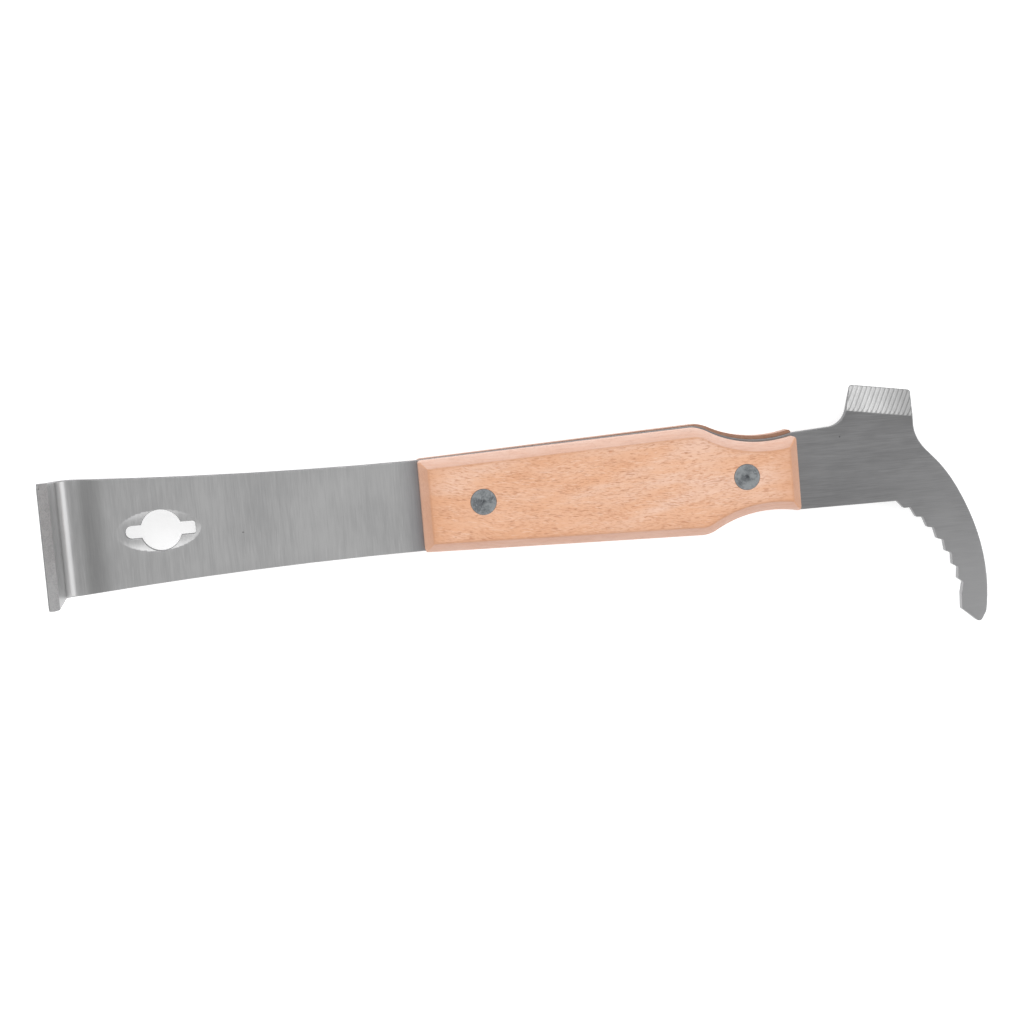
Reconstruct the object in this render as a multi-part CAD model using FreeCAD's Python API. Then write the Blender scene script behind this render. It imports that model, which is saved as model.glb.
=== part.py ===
"""Hive tool: one steel blade with a scraper hook, a frame-lifting hook and two riveted wooden scales.

Lengths are in millimetres. The origin is on the outer face of the back scale, midway between the
two rivets. +X runs along the tool towards the frame hook, +Y points to the hammer tab, and +Z
points up through the handle, the way that the scraper hook is bent.
"""
import FreeCAD, Part
import math
import os
from FreeCAD import Vector

# ---------------------------------------------------------------- driving dimensions
# thicknesses, stacked upwards from the back scale's outer face
SCALE_T = 8.0                 # each wooden scale
BLADE_T = 3.0                 # the steel
HANDLE_T = 2 * SCALE_T + BLADE_T
BLADE_BACK = SCALE_T          # height of the steel's back face
BLADE_FACE = SCALE_T + BLADE_T

# handle outline; each long side also has its own taper and hollow, listed as flanks further down
HANDLE_LEFT = -60.2           # end nearest the scraper
HANDLE_RIGHT = 58.2           # end nearest the frame hook
WAIST_X = 48.7                # narrowest place, where the fingers close
WAIST_R = 36.0                # hollow of the finger grip
KNEE_R = 9.0                  # rounding where the taper meets the hollow
EDGE_CHAMFER = 2.8            # bevel round the outer face of a scale

# rivets, each a shouldered post pressed into a sleeve
RIVET_X = (-41.2, 41.2)
RIVET_NAMES = ("scraper_end", "hook_end")
HEAD_R = 3.95
HEAD_T = 2.4
HEAD_RIM = 0.35               # bevel round the head
DIMPLE_R = 0.8
DIMPLE_DEPTH = 0.4
SLEEVE_R = 2.8                # barrel of the sleeve, through the steel
POST_R = 1.7                  # post inside the sleeve
POST_GAP = 1.2                # clear space between the post's tip and the sleeve's head

# scraper: the flared blade and its end, bent straight up
SCRAPER_X = -173.8            # outer face of the bent end
SCRAPER_TOP = 36.5            # height of its edge
SCRAPER_HALF_BEND = 17.95     # half width where the bend starts
SCRAPER_HALF_TOP = 19.3       # half width at its edge
SCRAPER_HALF_MID = 15.1       # half width half way to the handle
SCRAPER_MID_X = -115.3
BEND_R = 4.0                  # inside radius of the bend
BEND_X = SCRAPER_X + BEND_R + BLADE_T
BEND_TOP = BLADE_FACE + BEND_R
EDGE_BEVEL = 2.6              # thinning of the edge, on the inside
EDGE_BEVEL_H = 3.2
CORNER_R = 2.0                # rounded corners of the edge

# nail puller
NAIL_X = -140.6
NAIL_R = 6.4
SLOT_HALF = 2.0               # half width of the two side slots
SLOT_LEFT = 11.0              # reach of each slot from the middle of the hole
SLOT_RIGHT = 10.6
SLOT_CORNER = 0.9
RELIEF_X = -141.4             # middle of the ground relief round the hole, shaped like a spindle
RELIEF_HALF_L = 13.2
RELIEF_HALF_W = 6.5
RELIEF_DEPTH = 1.5

# frame hook and hammer tab
NECK_HALF = 12.65             # half width of the steel beyond the handle
TAB_ROOT = (70.5, NECK_HALF)  # start of the fillet up to the tab
TAB_ROOT_MID = (74.6, 15.1)
TAB_ROOT_TOP = (76.0, 18.2)
TAB_LEFT = (77.9, 25.2)       # corners of the tab's end
TAB_RIGHT = (97.2, 21.9)
TAB_CORNER = 1.0
TAB_SIDE = (96.9, 12.5)       # foot of the tab's right side
TAB_BEVEL_L = 8.2             # ribbed bevel at the tab's end
TAB_BEVEL_T = 1.0             # steel left at the tab's edge
RIB_PITCH = 1.46
RIB_DEPTH = 0.25
RIB_LEAN = 18.0               # degrees between the ribs and the tool's crosswise direction
HOOK_BACK = (                 # places on the outer curve of the hook, shoulder to tip
    (99.6, 3.7), (103.4, -0.6), (111.0, -13.0), (115.8, -27.2), (117.3, -39.5), (116.4, -50.5))
HOOK_TIP = (114.2, -54.1)
HOOK_TIP_R = 1.2
HOOK_TOE = (108.5, -49.0)     # inner corner of the tip
TOOTH_SHOULDER = (90.0, -12.7)
TOOTH_FIRST = (92.1, -15.2)   # first, middle and last tooth tips
TOOTH_MIDDLE = (103.4, -28.0)
TOOTH_LAST = (108.7, -44.0)
TOOTH_COUNT = 7
TOOTH_DEPTH = 1.35
TOOTH_STEP = 0.33             # share of the pitch taken by the short side of a tooth
TOOTH_ROUND = 0.45            # rounding of tips and gullets

UP = Vector(0, 0, 1)


# ---------------------------------------------------------------- outline helpers
def at(point, z=0.0):
    """A point of the plan at height z."""
    return Vector(point[0], point[1], z)


def line(a, b, z=0.0):
    """A straight edge between two points of the plan."""
    return Part.makeLine(at(a, z), at(b, z))


def arc(a, through, b, z=0.0):
    """A circular edge through three points of the plan."""
    return Part.Arc(at(a, z), at(through, z), at(b, z)).toShape()


def curve(points, z):
    """A smooth edge through the points of the plan."""
    spline = Part.BSplineCurve()
    spline.interpolate([at(p, z) for p in points])
    return spline.toShape()


def prism(edges, height):
    """The closed outline made of the edges, extruded upwards."""
    wire = Part.Wire(Part.__sortEdges__(edges))
    return Part.Face(wire).extrude(UP * height)


def upright_edge(solid, x, y):
    """The solid's upright edge nearest to a point of the plan."""
    upright = [e for e in solid.Edges if e.BoundBox.ZLength > 1.0 and e.BoundBox.DiagonalLength
               < e.BoundBox.ZLength * 1.001]
    return min(upright, key=lambda e: math.hypot(e.BoundBox.Center.x - x, e.BoundBox.Center.y - y))


# ---------------------------------------------------------------- handle outline
class Flank:
    """One long side of the handle: half widths at its left end and in the hollow, and its taper."""

    def __init__(self, side, half_left, taper, waist_half):
        self.side = side      # 1 towards the tab, -1 away from it
        self.half_left = half_left
        self.taper = taper
        self.waist_half = waist_half


LOWER = Flank(-1, 14.2, 0.0336, 11.2)         # away from the tab all three layers are flush
BACK_UPPER = Flank(1, 14.2, 0.0336, 11.8)     # towards the tab the back scale is the widest
TANG_UPPER = Flank(1, 14.1, 0.0310, 10.7)
FRONT_UPPER = Flank(1, 14.1, 0.0284, 10.05)


def waist_centre(flank):
    """Centre of a finger hollow's circle."""
    return Vector(WAIST_X, flank.side * (flank.waist_half + WAIST_R), 0)


def waist_y(x, flank, inset=0.0):
    """Height of the handle's outline in a finger hollow."""
    return waist_centre(flank).y - flank.side * math.sqrt((WAIST_R + inset)**2 - (x - WAIST_X)**2)


def knee_centre(flank):
    """Centre of the round between the taper and the hollow, and the taper's inward direction."""
    along = Vector(1, flank.side * flank.taper, 0).normalize()
    inward = Vector(along.y, -along.x, 0) * flank.side
    start = Vector(HANDLE_LEFT, flank.side * flank.half_left, 0) + inward * KNEE_R
    to_start = start - waist_centre(flank)
    half_b = along.dot(to_start)
    rest = to_start.dot(to_start) - (WAIST_R + KNEE_R)**2
    return start + along * (-half_b - math.sqrt(half_b**2 - rest)), inward


def handle_side(flank, z=0.0, inset=0.0):
    """One long side of the handle: taper, round knee and finger hollow, from left to right."""
    knee, inward = knee_centre(flank)
    radius = KNEE_R - inset
    to_waist = (waist_centre(flank) - knee).normalize()
    between = (to_waist - inward).normalize()
    left_half = flank.half_left + flank.taper * inset - inset * math.hypot(1, flank.taper)
    right_x = HANDLE_RIGHT - inset
    on_knee = [knee - inward * radius, knee + between * radius, knee + to_waist * radius]
    a = (HANDLE_LEFT + inset, flank.side * left_half)
    b, c, d = [(p.x, p.y) for p in on_knee]
    e = (WAIST_X, waist_y(WAIST_X, flank, inset))
    f = (right_x, waist_y(right_x, flank, inset))
    return [line(a, b, z), arc(b, c, d, z), arc(d, e, f, z)]


def handle_wire(upper_flank, z, inset):
    """The closed outline of the handle at height z, drawn in by an inset."""
    upper = handle_side(upper_flank, z, inset)
    lower = handle_side(LOWER, z, inset)
    left = Part.makeLine(lower[0].Vertexes[0].Point, upper[0].Vertexes[0].Point)
    right = Part.makeLine(lower[-1].Vertexes[-1].Point, upper[-1].Vertexes[-1].Point)
    return Part.Wire(Part.__sortEdges__([left, right] + upper + lower))


# ---------------------------------------------------------------- scales
def scale(upper_flank, z_inner, direction):
    """A wooden scale on the steel, bevelled round its outer face, with stepped rivet holes."""
    slab = Part.Face(handle_wire(upper_flank, 0.0, 0.0)).extrude(UP * (SCALE_T - EDGE_CHAMFER))
    bevel = Part.makeLoft([handle_wire(upper_flank, SCALE_T - EDGE_CHAMFER, 0.0),
                           handle_wire(upper_flank, SCALE_T, EDGE_CHAMFER)], True, True)
    body = slab.fuse(bevel).removeSplitter()
    for x in RIVET_X:
        bore = Part.makeCylinder(SLEEVE_R, SCALE_T, Vector(x, 0, 0))
        counterbore = Part.makeCylinder(HEAD_R, HEAD_T, Vector(x, 0, SCALE_T - HEAD_T))
        body = body.cut(bore).cut(counterbore)
    if direction < 0:
        body = body.mirror(Vector(0, 0, 0), UP)
    body.translate(UP * z_inner)
    return body


# ---------------------------------------------------------------- rivets
def head(x, z_outer, direction):
    """A rivet's flush head: a disc with a bevelled rim and a centre dimple."""
    disc = Part.makeCylinder(HEAD_R, HEAD_T, Vector(x, 0, z_outer - direction * HEAD_T), UP * direction)
    rim = [e for e in disc.Edges if abs(e.BoundBox.ZMin - z_outer) < 0.01
           and abs(e.BoundBox.ZMax - z_outer) < 0.01]
    disc = disc.makeChamfer(HEAD_RIM, rim)
    dimple = Part.makeCone(DIMPLE_R, 0, DIMPLE_DEPTH, Vector(x, 0, z_outer), UP * -direction)
    return disc.cut(dimple)


def rivet_sleeve(x):
    """The female half, with its head in the back scale and its barrel up through the steel."""
    barrel_top = HANDLE_T - HEAD_T
    barrel = Part.makeCylinder(SLEEVE_R, barrel_top - HEAD_T, Vector(x, 0, HEAD_T))
    well = Part.makeCylinder(POST_R, barrel_top - HEAD_T - POST_GAP, Vector(x, 0, HEAD_T + POST_GAP))
    return head(x, 0.0, -1).fuse(barrel).cut(well).removeSplitter()


def rivet_post(x):
    """The male half, with its head in the front scale and its post pressed into the sleeve."""
    post_foot = HEAD_T + 2 * POST_GAP
    post = Part.makeCylinder(POST_R, HANDLE_T - HEAD_T - post_foot, Vector(x, 0, post_foot))
    return head(x, HANDLE_T, 1).fuse(post).removeSplitter()


# ---------------------------------------------------------------- blade
def tooth_points():
    """Tips and gullets of the teeth by turns, spaced evenly along an arc from first to last tip."""
    base = arc(TOOTH_FIRST, TOOTH_MIDDLE, TOOTH_LAST)
    pitch = base.Length / TOOTH_COUNT
    centre = base.Curve.Center
    points = []
    for i in range(TOOTH_COUNT):
        tip = base.valueAt(base.getParameterByLength(i * pitch))
        foot = base.valueAt(base.getParameterByLength((i + TOOTH_STEP) * pitch))
        gullet = foot + (foot - centre).normalize() * TOOTH_DEPTH
        points += [(tip.x, tip.y), (gullet.x, gullet.y)]
    return points + [TOOTH_LAST]


def flat_blade():
    """The steel before bending and grinding: scraper, tang, tab and hook in one outline."""
    z = BLADE_BACK
    edges = []
    for flank in (TANG_UPPER, LOWER):
        bend = (BEND_X, flank.side * SCRAPER_HALF_BEND)
        middle = (SCRAPER_MID_X, flank.side * SCRAPER_HALF_MID)
        edges.append(arc(bend, middle, (HANDLE_LEFT, flank.side * flank.half_left), z))
        edges += handle_side(flank, z)
    edges.append(line((BEND_X, -SCRAPER_HALF_BEND), (BEND_X, SCRAPER_HALF_BEND), z))
    edges.append(line((HANDLE_RIGHT, waist_y(HANDLE_RIGHT, TANG_UPPER)), TAB_ROOT, z))
    edges.append(arc(TAB_ROOT, TAB_ROOT_MID, TAB_ROOT_TOP, z))
    edges.append(line(TAB_ROOT_TOP, TAB_LEFT, z))
    edges.append(line(TAB_LEFT, TAB_RIGHT, z))
    edges.append(line(TAB_RIGHT, TAB_SIDE, z))
    edges.append(curve((TAB_SIDE,) + HOOK_BACK, z))
    lower_end = (HANDLE_RIGHT, waist_y(HANDLE_RIGHT, LOWER))
    inner = [lower_end, TOOTH_SHOULDER] + tooth_points() + [HOOK_TOE, HOOK_TIP, HOOK_BACK[-1]]
    edges += [line(a, b, z) for a, b in zip(inner[:-1], inner[1:])]
    return prism(edges, BLADE_T)


def bent_profile():
    """The bent end seen from the side: the bend, the upright and the bevel inside its edge."""
    inner_x = SCRAPER_X + BLADE_T
    outer_r = BEND_R + BLADE_T
    diagonal = Vector(-1, 0, -1).normalize()
    centre = Vector(BEND_X, 0, BEND_TOP)
    corners = [(BEND_X, BLADE_FACE), (inner_x, BEND_TOP), (inner_x, SCRAPER_TOP - EDGE_BEVEL_H),
               (inner_x - EDGE_BEVEL, SCRAPER_TOP), (SCRAPER_X, SCRAPER_TOP), (SCRAPER_X, BEND_TOP),
               (BEND_X, BLADE_BACK)]
    points = [Vector(x, 0, z) for x, z in corners]
    edges = [Part.Arc(points[0], centre + diagonal * BEND_R, points[1]).toShape()]
    edges += [Part.makeLine(a, b) for a, b in zip(points[1:5], points[2:6])]
    edges.append(Part.Arc(points[5], centre + diagonal * outer_r, points[6]).toShape())
    edges.append(Part.makeLine(points[6], points[0]))
    return Part.Face(Part.Wire(edges))


def bent_end():
    """The scraper's upright end, as wide as the blade at the bend and flared towards its edge."""
    profile = bent_profile()
    profile.translate(Vector(0, -SCRAPER_HALF_TOP, 0))
    slab = profile.extrude(Vector(0, 2 * SCRAPER_HALF_TOP, 0))
    half_plan = [(SCRAPER_HALF_BEND, BLADE_BACK), (SCRAPER_HALF_BEND, BEND_TOP),
                 (SCRAPER_HALF_TOP, SCRAPER_TOP)]
    outline = [Vector(0, y, z) for y, z in half_plan] + [Vector(0, -y, z) for y, z in reversed(half_plan)]
    gate = Part.Face(Part.makePolygon(outline + outline[:1])).extrude(Vector(BEND_R + BLADE_T, 0, 0))
    top_corners = [e for e in gate.Edges if e.BoundBox.XLength > 1 and e.BoundBox.ZMin > SCRAPER_TOP - 0.01]
    gate = gate.makeFillet(CORNER_R, top_corners)
    gate.translate(Vector(SCRAPER_X, 0, 0))
    return slab.common(gate)


def nail_puller():
    """The hole and its two side slots, as a cutter through the steel."""
    cutter = Part.makeCylinder(NAIL_R, BLADE_T, Vector(NAIL_X, 0, BLADE_BACK))
    width = 2 * SLOT_HALF
    slot_length = SLOT_LEFT - SLOT_HALF + SLOT_RIGHT
    start = Vector(NAIL_X - SLOT_LEFT + SLOT_HALF, -SLOT_HALF, BLADE_BACK)
    slot = Part.makeBox(slot_length, width, BLADE_T, start)
    ends = [upright_edge(slot, NAIL_X + SLOT_RIGHT, side * SLOT_HALF) for side in (1, -1)]
    slot = slot.makeFillet(SLOT_CORNER, ends)
    round_end = Part.makeCylinder(SLOT_HALF, BLADE_T, start + Vector(0, SLOT_HALF, 0))
    return cutter.fuse(slot).fuse(round_end)


def nail_relief():
    """The ground relief round the nail hole: a spindle lying along the tool, dipped into the face."""
    barrel_r = (RELIEF_HALF_W**2 + RELIEF_DEPTH**2) / (2 * RELIEF_DEPTH)
    lift = barrel_r - RELIEF_DEPTH
    z_axis = BLADE_FACE + lift
    left = Vector(RELIEF_X - RELIEF_HALF_L, 0, BLADE_FACE)
    right = Vector(RELIEF_X + RELIEF_HALF_L, 0, BLADE_FACE)
    lowest = Vector(RELIEF_X, 0, BLADE_FACE - RELIEF_DEPTH)
    belly = Part.Arc(left, lowest, right).toShape()
    up_left = Vector(left.x, 0, z_axis)
    up_right = Vector(right.x, 0, z_axis)
    sides = [Part.makeLine(right, up_right), Part.makeLine(up_right, up_left), Part.makeLine(up_left, left)]
    profile = Part.Face(Part.Wire([belly] + sides))
    return profile.revolve(Vector(RELIEF_X, 0, z_axis), Vector(1, 0, 0), 360)


def tab_axes():
    """The tab's end edge: its left corner, its direction along and its direction inwards."""
    left = at(TAB_LEFT)
    along = (at(TAB_RIGHT) - left).normalize()
    inward = Vector(along.y, -along.x, 0)
    return left, along, inward


def tab_bevel():
    """The wedge ground off the face at the tab's end."""
    left, along, inward = tab_axes()
    start = left - along * 5 - inward * 5
    depth = BLADE_T - TAB_BEVEL_T
    slope = depth / TAB_BEVEL_L
    wedge_points = [(-5.0, depth + 5 * slope), (TAB_BEVEL_L, 0.0), (TAB_BEVEL_L, -2.0), (-5.0, -2.0)]
    vectors = [left - along * 5 + inward * s + UP * (BLADE_FACE - d) for s, d in wedge_points]
    return Part.Face(Part.makePolygon(vectors + vectors[:1])).extrude(along * 35)


def tab_grooves():
    """The grooves between the ribs: round cutters laid in the bevel, leaning to the tab's edge."""
    left, along, inward = tab_axes()
    slope = (BLADE_T - TAB_BEVEL_T) / TAB_BEVEL_L
    lean = math.radians(RIB_LEAN)
    groove_r = (RIB_PITCH**2 / 4 + RIB_DEPTH**2) / (2 * RIB_DEPTH)
    width = (at(TAB_RIGHT) - left).Length
    direction = inward * math.cos(lean) - along * math.sin(lean) + UP * slope * math.cos(lean)
    direction.normalize()
    count = int(width / RIB_PITCH) + 3
    grooves = []
    for i in range(count):
        edge_point = left + along * (i * RIB_PITCH) + UP * (BLADE_BACK + TAB_BEVEL_T)
        lifted = edge_point + UP * (groove_r - RIB_DEPTH) - direction * 2
        grooves.append(Part.makeCylinder(groove_r, TAB_BEVEL_L + 3.2, lifted, direction))
    return grooves


def blade():
    """The finished steel: flat outline, bent scraper end, nail puller, tab bevel and rivet holes."""
    steel = flat_blade()
    corners = [upright_edge(steel, *p) for p in (TAB_LEFT, TAB_RIGHT)]
    steel = steel.makeFillet(TAB_CORNER, corners)
    tips = [upright_edge(steel, *p) for p in (HOOK_TIP, HOOK_BACK[-1])]
    steel = steel.makeFillet(HOOK_TIP_R, tips)
    teeth = [upright_edge(steel, *p) for p in tooth_points()]
    steel = steel.makeFillet(TOOTH_ROUND, teeth)
    steel = steel.fuse(bent_end())
    steel = steel.cut(nail_relief()).cut(nail_puller()).cut(tab_bevel())
    for groove in tab_grooves():
        steel = steel.cut(groove)
    for x in RIVET_X:
        steel = steel.cut(Part.makeCylinder(SLEEVE_R, BLADE_T, Vector(x, 0, BLADE_BACK)))
    return steel.removeSplitter()


# ---------------------------------------------------------------- write one file per piece
def main():
    os.makedirs("parts", exist_ok=True)
    pieces = {"blade": blade(), "front_scale": scale(FRONT_UPPER, BLADE_FACE, 1),
              "back_scale": scale(BACK_UPPER, BLADE_BACK, -1)}
    for name, x in zip(RIVET_NAMES, RIVET_X):
        pieces[name + "_rivet_post"] = rivet_post(x)
        pieces[name + "_rivet_sleeve"] = rivet_sleeve(x)
    for name, shape in pieces.items():
        solid = shape.Solids[0]
        print(name, "valid", solid.isValid(), "volume", round(solid.Volume, 1), "mm3")
        solid.exportStep("parts/" + name + ".step")


main()
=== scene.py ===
# %% [markdown]
# # A hive tool, dressed for the bench
# A hive tool is one long piece of steel with two beech scales riveted to its middle. One end is a scraper
# bent up at a right angle, the other a curved hook for lifting frames, with a small hammer tab beside it.
# The engineering model already gives every piece its true size and place, so it is loaded first and never
# moved.
# %% Load the frame
import bmesh
import bpy
import math
import numpy as np
from mathutils import Matrix, Vector
from mathutils.geometry import delaunay_2d_cdt


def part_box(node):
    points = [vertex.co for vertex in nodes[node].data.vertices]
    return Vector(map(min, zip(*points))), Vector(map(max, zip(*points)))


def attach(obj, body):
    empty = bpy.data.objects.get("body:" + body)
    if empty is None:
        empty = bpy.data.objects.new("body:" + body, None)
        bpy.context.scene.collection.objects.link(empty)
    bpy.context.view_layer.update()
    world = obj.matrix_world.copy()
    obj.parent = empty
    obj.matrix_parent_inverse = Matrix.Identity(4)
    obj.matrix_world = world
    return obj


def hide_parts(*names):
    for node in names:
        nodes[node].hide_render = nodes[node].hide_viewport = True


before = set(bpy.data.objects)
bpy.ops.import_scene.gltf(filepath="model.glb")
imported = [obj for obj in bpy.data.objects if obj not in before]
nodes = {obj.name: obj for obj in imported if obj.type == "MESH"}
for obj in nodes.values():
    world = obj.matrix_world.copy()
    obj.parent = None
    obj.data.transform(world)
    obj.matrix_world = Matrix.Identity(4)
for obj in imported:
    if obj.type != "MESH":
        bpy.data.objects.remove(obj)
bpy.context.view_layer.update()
MM = 0.001
print("nodes:", sorted(nodes))

# %% [markdown]
# ## Measuring the frame
# The looks need a few sizes: how thick the wood is, where the rivets stand, how wide the handle is. These
# are read from the boxes of the nodes, in millimetres. Finer shapes, such as the hollows, the bevels and
# the ribs, can't be read from a box. They stand further down as named values that repeat the model's own,
# so a change to one of them in the model has to be made here as well.
# %% Sizes read from the nodes


def box_mm(node):
    """A node's lowest and highest corners in millimetres."""
    low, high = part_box(node)
    return np.array(low) / MM, np.array(high) / MM


scale_low, scale_high = box_mm("front_scale")
back_high = box_mm("back_scale")[1]
blade_low, blade_high = box_mm("blade")
WOOD_T = scale_high[2] - scale_low[2]
STEEL_BACK, STEEL_FACE = back_high[2], scale_low[2]
HANDLE_TOP = scale_high[2]
RIVETS = {name: box_mm(name) for name in nodes if "rivet" in name}
for name, (low, high) in sorted(RIVETS.items()):
    centre_x, radius = (low[0] + high[0]) / 2, (high[0] - low[0]) / 2
    print(name, "centre x", round(centre_x, 2), "head radius", round(radius, 2))
print("wood", round(WOOD_T, 2), "steel", round(STEEL_FACE - STEEL_BACK, 2), "handle", round(HANDLE_TOP, 2))

# %% [markdown]
# ## Turning grids into meshes
# Most surfaces here are grids of points: one parameter runs round the piece, the other across it. A
# helper joins the grid's neighbours with four-sided faces and closes it into a ring. The piece's own
# function caps the ends.
# %% Grid to mesh


def new_piece(name, points_mm, faces):
    """A mesh object with its place in its mesh, from points in millimetres."""
    mesh = bpy.data.meshes.new(name)
    mesh.from_pydata((points_mm * MM).tolist(), [], faces)
    mesh.update()
    mesh.validate()
    piece = bpy.data.objects.new(name, mesh)
    bpy.context.scene.collection.objects.link(piece)
    return piece


def grid_faces(rows, columns):
    """Four-sided faces of a grid whose columns close into a ring: each joins row r to row r + 1."""
    r, c = np.meshgrid(np.arange(rows - 1), np.arange(columns), indexing="ij")
    nxt = (c + 1) % columns
    here, beside = r * columns + c, r * columns + nxt
    quads = np.stack([here, beside, beside + columns, here + columns], axis=-1)
    return quads.reshape(-1, 4).tolist()


def read_out(items, name, width=1, kind=float):
    """One property of all the items as an array, a row for each item if the property has parts."""
    values = np.empty(len(items) * width, kind)
    items.foreach_get(name, values)
    return values if width == 1 else values.reshape(-1, width)


def shade(piece, degrees):
    """Smooth shading, kept crisp where two faces meet at more than the angle."""
    mesh = piece.data
    mesh.shade_smooth()
    mesh.set_sharp_from_angle(angle=math.radians(degrees))


def weighted_shade(piece, degrees):
    """Smooth shading whose corner normals lean to the larger faces, averaged only within the angle."""
    mesh = piece.data
    mesh.shade_smooth()
    areas, normals = read_out(mesh.polygons, "area"), read_out(mesh.polygons, "normal", 3)
    corner_of = read_out(mesh.loops, "vertex_index", kind=np.int32)
    sides = read_out(mesh.polygons, "loop_total", kind=np.int32)
    face = np.repeat(np.arange(len(sides)), sides)
    order = np.argsort(corner_of, kind="stable")
    count = np.bincount(corner_of, minlength=len(mesh.vertices))
    start = np.cumsum(count) - count
    total = np.zeros((len(corner_of), 3))
    for k in range(count.max()):
        meets = np.flatnonzero(count[corner_of] > k)
        other = face[order[start[corner_of[meets]] + k]]
        near = (normals[face[meets]] * normals[other]).sum(axis=1) > math.cos(math.radians(degrees))
        total[meets[near]] += (normals * areas[:, None])[other[near]]
    total /= np.maximum(np.linalg.norm(total, axis=1, keepdims=True), 1e-20)
    mesh.normals_split_custom_set(total.tolist())


def add_attribute(piece, name, values):
    """A number stored on each vertex, for a material to read."""
    layer = piece.data.attributes.new(name, "FLOAT", "POINT")
    layer.data.foreach_set("value", np.asarray(values, np.float32).ravel())


# %% [markdown]
# ## The handle's outline
# A scale's outline is a straight taper that widens to a rounded knee, then a hollow for the fingers, then
# a small flare. Towards the tab the front scale was sanded down further than the back one, so that side
# has its own numbers for each scale. Writing the outline as a function of how far it is drawn in gives
# every level of the bevel from one formula, so the bevel keeps its width all the way round, as a router
# bit leaves it.
# %% Outline of a scale

LEFT, RIGHT = scale_low[0], scale_high[0]
WAIST_X, WAIST_R, KNEE_R = 48.7, 36.0, 9.0
CORNER_LEFT, CORNER_RIGHT = 1.0, 1.6
LOWER = {"side": -1, "half_left": 14.2, "taper": 0.0336, "waist_half": 11.2}
BACK_UPPER = {"side": 1, "half_left": 14.2, "taper": 0.0336, "waist_half": 11.8}
FRONT_UPPER = {"side": 1, "half_left": 14.1, "taper": 0.0284, "waist_half": 10.05}


def run(a, b, count):
    """Points on the straight line from a to b, leaving out b."""
    t = np.linspace(0.0, 1.0, count, endpoint=False)[:, None]
    return np.asarray(a) * (1 - t) + np.asarray(b) * t


def swing(centre, radius, start, end, count):
    """Points on a circle about the centre, from the start angle to the end angle, leaving out the end."""
    t = np.linspace(start, end, count, endpoint=False)
    return np.stack([centre[0] + radius * np.cos(t), centre[1] + radius * np.sin(t)], axis=1)


def corner(before, point, after, reach, count):
    """A rounded corner: the parabola that leaves the first edge and meets the second at an equal reach."""
    a = point + (before - point) / np.linalg.norm(before - point) * reach
    b = point + (after - point) / np.linalg.norm(after - point) * reach
    t = np.linspace(0.0, 1.0, count)[:, None]
    return a * (1 - t)**2 + point * 2 * t * (1 - t) + b * t**2


def handle_side(flank, inset):
    """Half of the outline, from the left end's middle to the right end's middle, drawn in by the inset."""
    side, half_left, taper = flank["side"], flank["half_left"], flank["taper"]
    waist = np.array([WAIST_X, side * (flank["waist_half"] + WAIST_R)])
    along = np.array([1.0, side * taper]) / math.hypot(1.0, taper)
    inward = side * np.array([along[1], -along[0]])
    start = np.array([LEFT, side * half_left])
    offset = start + inward * KNEE_R - waist
    b = along @ offset
    reach = b * b - offset @ offset + (WAIST_R + KNEE_R)**2
    knee = start + inward * KNEE_R + along * (-b - math.sqrt(reach))
    to_waist = (waist - knee) / np.linalg.norm(waist - knee)
    left_x, right_x = LEFT + inset, RIGHT - inset
    left_corner = np.array([left_x, side * (half_left + taper * inset - inset * math.hypot(1.0, taper))])
    hollow = WAIST_R + inset
    right_corner = np.array([right_x, waist[1] - side * math.sqrt(hollow**2 - (right_x - WAIST_X)**2)])
    knee_start = knee - inward * (KNEE_R - inset)
    angle_a, angle_b = math.atan2(-inward[1], -inward[0]), math.atan2(to_waist[1], to_waist[0])
    angle_c = math.atan2(-to_waist[1], -to_waist[0])
    reach_l, reach_r = max(CORNER_LEFT - 0.3 * inset, 0.2), max(CORNER_RIGHT - 0.4 * inset, 0.3)
    end = right_corner - waist
    angle_d = math.atan2(end[1], end[0]) - side * reach_r / hollow
    before_right = waist + hollow * np.array([math.cos(angle_d), math.sin(angle_d)])
    left_round = corner(np.array([left_x, 0.0]), left_corner, knee_start, reach_l, 7)
    right_round = corner(before_right, right_corner, np.array([right_x, 0.0]), reach_r, 7)
    hollow_end = right_round[0] - waist
    angle_e = math.atan2(hollow_end[1], hollow_end[0])
    return np.concatenate([
        run([left_x, 0.0], left_round[0], 12), left_round[:-1], run(left_round[-1], knee_start, 60),
        swing(knee, KNEE_R - inset, angle_a, angle_b, 16),
        swing(waist, hollow, angle_c, angle_e, 44),
        right_round[:-1], run(right_round[-1], [right_x, 0.0], 10)])


def handle_loop(upper_flank, inset):
    """The whole closed outline, counter-clockwise seen from above."""
    lower = handle_side(LOWER, inset)
    upper = handle_side(upper_flank, inset)
    finish = np.array([[RIGHT - inset, 0.0]])
    return np.concatenate([lower, finish, upper[:0:-1]])


for flank in (FRONT_UPPER, BACK_UPPER):
    loop = handle_loop(flank, 0.0)
    print("outline points", len(loop), "y", loop[:, 1].min().round(2), loop[:, 1].max().round(2))

# %% [markdown]
# ## The wooden scales
# A scale is the outline carried up through a profile: a straight side, a bevel and the flat face. Wood is
# never left razor sharp, so both edges of the bevel are rounded by a small arc. A darker line along the
# bevel's upper edge is stored as a number on each vertex, which the wood's material reads later.
# %% Profile and scale

BEVEL = 2.8
ROUND_LOW, ROUND_HIGH = 0.9, 1.3
SPINE_LEFT, SPINE_RIGHT = LEFT + 13, RIGHT - 11


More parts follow.
